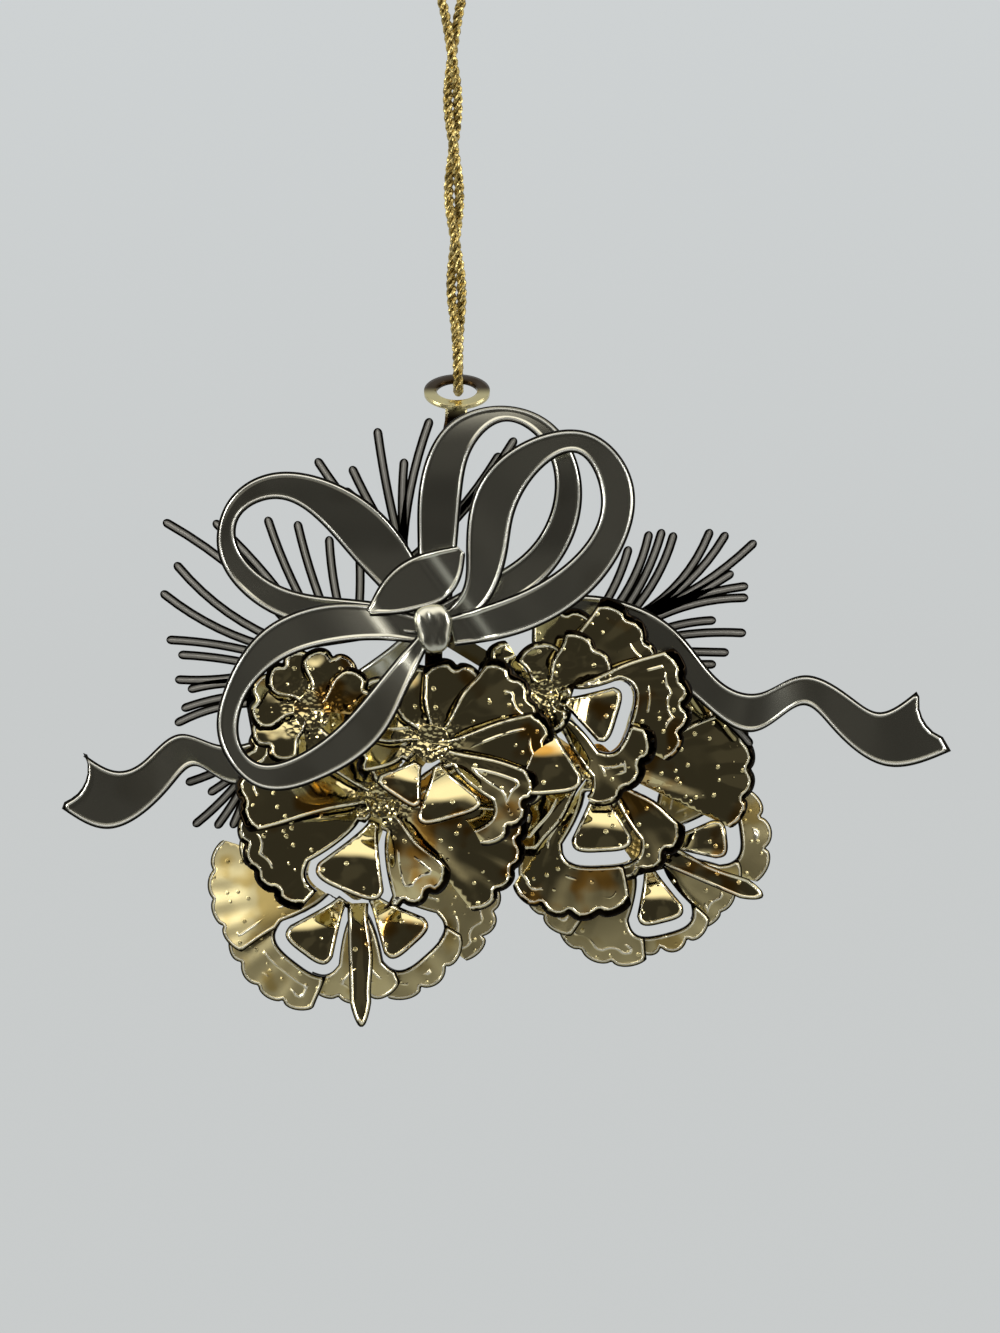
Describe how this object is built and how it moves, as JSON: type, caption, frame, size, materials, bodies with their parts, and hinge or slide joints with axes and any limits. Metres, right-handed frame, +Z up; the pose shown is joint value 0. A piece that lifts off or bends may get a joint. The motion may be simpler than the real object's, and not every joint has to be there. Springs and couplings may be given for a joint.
{
  "type": "pine cone hanging ornament",
  "caption": "Hanging ornament of etched and plated sheet metal: a looped ribbon bow over layered pine cones, with sprays of needles and a knotted cord loop.",
  "frame": {"origin": "centre of the hanging ring's hole, with the ornament hanging below it", "axes": "+Z up along the hanging cord, +X to the viewer's right across the ribbon tails, -Y towards the viewer, the decorated front"},
  "size_m": [0.0823, 0.0169, 0.1118],
  "materials": {
    "ribbon_metal": "dark tinted bright plate",
    "hanger_metal": "bright gold plate",
    "needle_metal": "dark tinted bright plate",
    "cone_metal": "olive gold tinted bright plate",
    "cord": "metallic thread"
  },
  "bodies": {
    "root": {"bow_front": "ribbon_metal", "bow_back": "ribbon_metal", "right_ribbon_tail": "ribbon_metal", "left_ribbon_tail": "ribbon_metal", "knot": "ribbon_metal", "hanger_frame": "hanger_metal", "needle_spray_top": "needle_metal", "needle_spray_left": "needle_metal", "needle_spray_right": "needle_metal", "left_cone_scales_1": "cone_metal", "left_cone_scales_2": "cone_metal", "left_cone_scales_3": "cone_metal", "left_cone_scales_4": "cone_metal", "right_cone_scales_1": "cone_metal", "right_cone_scales_2": "cone_metal", "right_cone_scales_3": "cone_metal", "right_cone_scales_4": "cone_metal", "left_cone_spine": "cone_metal", "right_cone_spine": "cone_metal", "hanging_cord": "cord", "cord_knot": "cord"}
  },
  "joints": []
}
